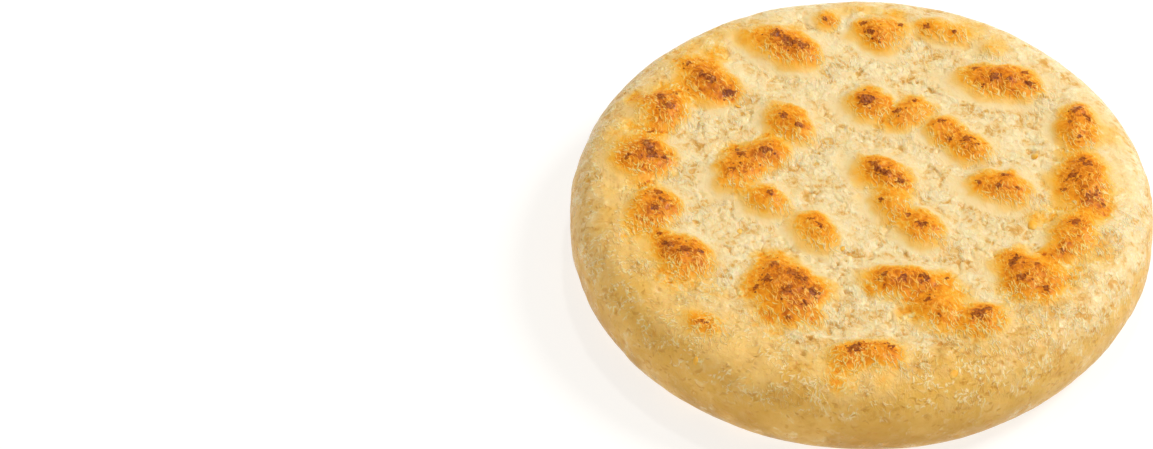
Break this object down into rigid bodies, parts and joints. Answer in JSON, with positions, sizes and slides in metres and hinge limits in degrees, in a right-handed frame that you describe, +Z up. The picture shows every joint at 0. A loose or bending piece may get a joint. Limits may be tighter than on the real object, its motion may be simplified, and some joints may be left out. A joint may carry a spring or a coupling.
{
  "type": "arepa corn cake",
  "caption": "Thick round griddled maize-dough cake with a rounded wall, a soft rim and browned blisters on its top.",
  "frame": {"origin": "middle of the flat face that the cake rests on", "axes": "+Z up through the cake's thickness, -Y to the front that is seen first, +X to its right"},
  "size_m": [0.1098, 0.1098, 0.0199],
  "materials": {
    "griddled_dough": "soft, slightly moist crumb of maize dough with golden to dark brown griddle spots"
  },
  "bodies": {
    "root": {"corn_cake": "griddled_dough"}
  },
  "joints": []
}
